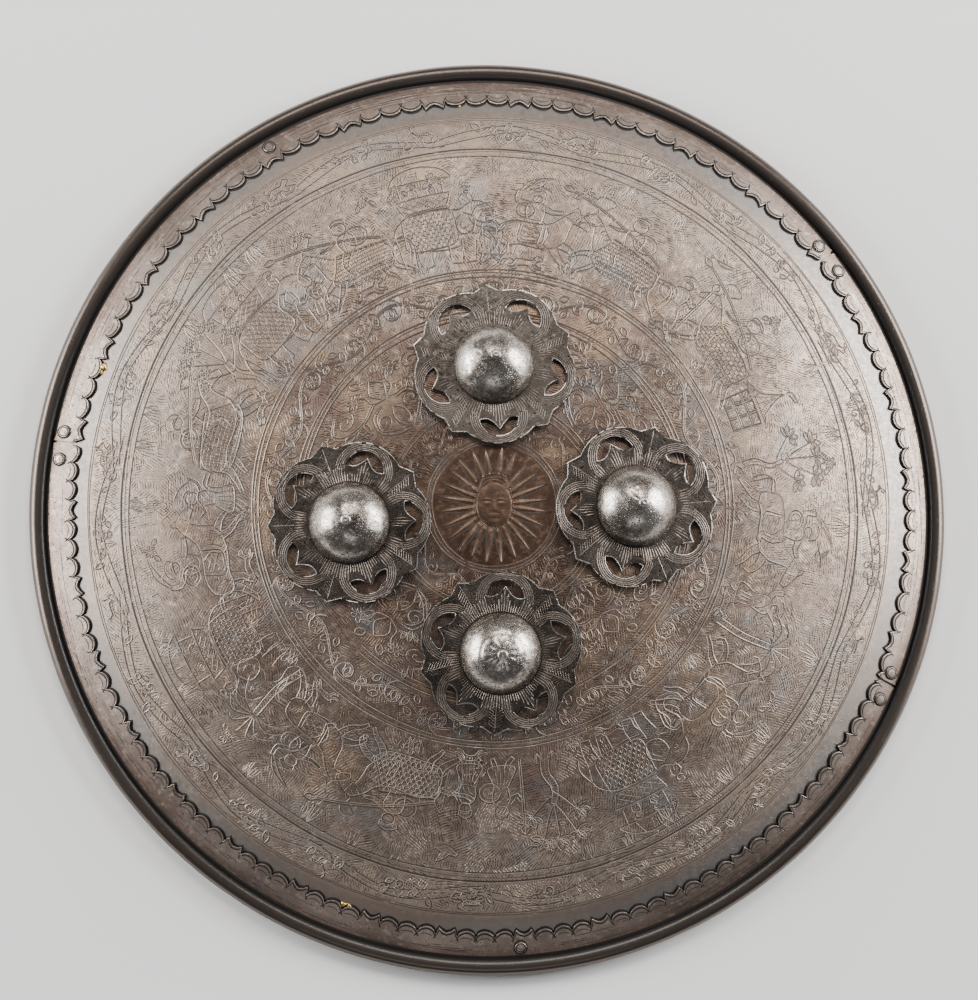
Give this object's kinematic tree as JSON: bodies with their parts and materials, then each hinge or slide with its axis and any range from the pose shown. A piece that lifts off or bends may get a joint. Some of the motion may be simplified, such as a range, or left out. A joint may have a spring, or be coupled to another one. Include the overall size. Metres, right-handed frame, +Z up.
{
  "type": "round shield",
  "caption": "Domed round steel shield with a rolled rim, a riveted scalloped border, and hollow bosses on pierced lobed rosettes, engraved all over.",
  "frame": {"origin": "centre of the circle on which the rolled rim rests", "axes": "+Z up along the dome, out of the shield's face; +Y is the shield's top when it is carried; +X to the right seen from the front"},
  "size_m": [0.46, 0.46, 0.0793],
  "materials": {
    "plate_steel": "dark brown patina over engraved steel, worn lighter on high spots, fine pitting",
    "border_steel": "brown patina, worn edges",
    "rosette_steel": "near-black grey, chased lines, bright worn edges, deep pitting",
    "boss_steel": "brighter worn steel, fine dark pitting",
    "rivet_steel": "worn steel"
  },
  "bodies": {
    "root": {"shield_plate": "plate_steel", "border_right": "border_steel", "border_top": "border_steel", "border_bottom": "border_steel", "border_rivet_1": "rivet_steel", "border_rivet_2": "rivet_steel", "border_rivet_3": "rivet_steel", "border_rivet_4": "rivet_steel", "border_rivet_5": "rivet_steel", "border_rivet_6": "rivet_steel", "border_rivet_7": "rivet_steel", "border_rivet_8": "rivet_steel", "rosette_right": "rosette_steel", "boss_right": "boss_steel", "boss_rivet_right": "rivet_steel", "rosette_top": "rosette_steel", "boss_top": "boss_steel", "boss_rivet_top": "rivet_steel", "rosette_left": "rosette_steel", "boss_left": "boss_steel", "boss_rivet_left": "rivet_steel", "rosette_bottom": "rosette_steel", "boss_bottom": "boss_steel", "boss_rivet_bottom": "rivet_steel"}
  },
  "joints": []
}
